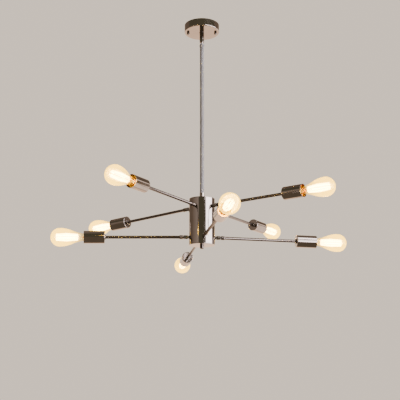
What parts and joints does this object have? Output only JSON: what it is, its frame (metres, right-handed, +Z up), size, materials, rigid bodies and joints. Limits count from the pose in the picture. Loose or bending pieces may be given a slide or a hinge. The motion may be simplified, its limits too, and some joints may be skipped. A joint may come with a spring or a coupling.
{
  "type": "multi arm chandelier",
  "caption": "Ceiling chandelier with adjustable arms in tiers round a cylindrical hub, hanging on a rigid rod from a round canopy, with bare filament bulbs in metal cups.",
  "frame": {"origin": "on the ceiling plane, midway between the mounting bracket's two screw slots, on the axis of the canopy, rod and hub", "axes": "+Z up into the ceiling, along the rod; X along the line of the screw slots and the canopy's two knobs; the object hangs down along -Z"},
  "size_m": [0.9787, 0.9744, 0.8155],
  "materials": {
    "dark_nickel": "polished black nickel plate",
    "rod_nickel": "satin nickel plate",
    "zinc_steel": "zinc plated steel",
    "lamp_brass": "bright rolled brass",
    "porcelain": "glazed white porcelain",
    "nylon": "natural nylon",
    "terminal_plastic": "white moulded plastic",
    "clear_glass": "clear blown glass"
  },
  "bodies": {
    "ceiling_mount": {"mounting_bracket": "zinc_steel", "bracket_studs": "zinc_steel", "canopy": "dark_nickel", "canopy_knobs": "dark_nickel", "terminal_block": "terminal_plastic", "swivel_sleeve": "dark_nickel", "swivel_nut": "zinc_steel"},
    "swivel_cross": {"wire_bush": "nylon"},
    "swivel": {"swivel_ball": "dark_nickel", "rod_coupler": "rod_nickel"},
    "pendant": {"rod": "rod_nickel", "rod_collar": "dark_nickel", "centre_nipple": "zinc_steel", "hub_top_cap": "dark_nickel", "hub_shell": "dark_nickel", "hub_bottom_cap": "dark_nickel", "finial": "dark_nickel", "knuckle_bases": "dark_nickel", "knuckle_screws": "dark_nickel", "knuckle_locknuts": "zinc_steel"},
    "lower_arm_1": {"lower_arm_1": "dark_nickel", "lower_cup_1": "dark_nickel", "lower_holder_1": "porcelain", "lower_bulb_1": "clear_glass", "lower_bulb_cap_1": "lamp_brass"},
    "lower_arm_2": {"lower_arm_2": "dark_nickel", "lower_cup_2": "dark_nickel", "lower_holder_2": "porcelain", "lower_bulb_2": "clear_glass", "lower_bulb_cap_2": "lamp_brass"},
    "lower_arm_3": {"lower_arm_3": "dark_nickel", "lower_cup_3": "dark_nickel", "lower_holder_3": "porcelain", "lower_bulb_3": "clear_glass", "lower_bulb_cap_3": "lamp_brass"},
    "lower_arm_4": {"lower_arm_4": "dark_nickel", "lower_cup_4": "dark_nickel", "lower_holder_4": "porcelain", "lower_bulb_4": "clear_glass", "lower_bulb_cap_4": "lamp_brass"},
    "upper_arm_1": {"upper_arm_1": "dark_nickel", "upper_cup_1": "dark_nickel", "upper_holder_1": "porcelain", "upper_bulb_1": "clear_glass", "upper_bulb_cap_1": "lamp_brass"},
    "upper_arm_2": {"upper_arm_2": "dark_nickel", "upper_cup_2": "dark_nickel", "upper_holder_2": "porcelain", "upper_bulb_2": "clear_glass", "upper_bulb_cap_2": "lamp_brass"},
    "upper_arm_3": {"upper_arm_3": "dark_nickel", "upper_cup_3": "dark_nickel", "upper_holder_3": "porcelain", "upper_bulb_3": "clear_glass", "upper_bulb_cap_3": "lamp_brass"},
    "upper_arm_4": {"upper_arm_4": "dark_nickel", "upper_cup_4": "dark_nickel", "upper_holder_4": "porcelain", "upper_bulb_4": "clear_glass", "upper_bulb_cap_4": "lamp_brass"}
  },
  "joints": [
    {"name": "pendant_lean_x", "type": "hinge", "parent": "ceiling_mount", "child": "swivel_cross", "pos_m": [0, 0, -0.0592], "axis": [1, 0, 0], "range_deg": [-12, 12]},
    {"name": "pendant_lean_y", "type": "hinge", "parent": "swivel_cross", "child": "swivel", "pos_m": [0, 0, -0.0592], "axis": [0, 1, 0], "range_deg": [-12, 12]},
    {"name": "pendant_spin", "type": "hinge", "parent": "swivel", "child": "pendant", "pos_m": [0, 0, -0.0833], "axis": [0, 0, 1], "range_deg": [-175, 175]},
    {"name": "lower_tilt_1", "type": "hinge", "parent": "pendant", "child": "lower_arm_1", "pos_m": [0.05645, 0.00793, -0.7607], "axis": [0.1392, -0.9903, 0], "range_deg": [-59, 61]},
    {"name": "lower_tilt_2", "type": "hinge", "parent": "pendant", "child": "lower_arm_2", "pos_m": [-0.00941, 0.05622, -0.7607], "axis": [0.9863, 0.165, 0], "range_deg": [-56.5, 63.5]},
    {"name": "lower_tilt_3", "type": "hinge", "parent": "pendant", "child": "lower_arm_3", "pos_m": [-0.05645, -0.00793, -0.7607], "axis": [-0.1392, 0.9903, 0], "range_deg": [-58.5, 61.5]},
    {"name": "lower_tilt_4", "type": "hinge", "parent": "pendant", "child": "lower_arm_4", "pos_m": [0.00941, -0.05622, -0.7607], "axis": [-0.9863, -0.165, 0], "range_deg": [-61.5, 58.5]},
    {"name": "upper_tilt_1", "type": "hinge", "parent": "pendant", "child": "upper_arm_1", "pos_m": [0.0331, 0.04641, -0.6578], "axis": [0.8141, -0.5807, 0], "range_deg": [-58.5, 61.5]},
    {"name": "upper_tilt_2", "type": "hinge", "parent": "pendant", "child": "upper_arm_2", "pos_m": [-0.04725, 0.03187, -0.6578], "axis": [0.5592, 0.829, 0], "range_deg": [-57, 63]},
    {"name": "upper_tilt_3", "type": "hinge", "parent": "pendant", "child": "upper_arm_3", "pos_m": [-0.03063, -0.04807, -0.6578], "axis": [-0.8434, 0.5373, 0], "range_deg": [-61, 59]},
    {"name": "upper_tilt_4", "type": "hinge", "parent": "pendant", "child": "upper_arm_4", "pos_m": [0.04552, -0.0343, -0.6578], "axis": [-0.6018, -0.7986, 0], "range_deg": [-60, 60]}
  ]
}
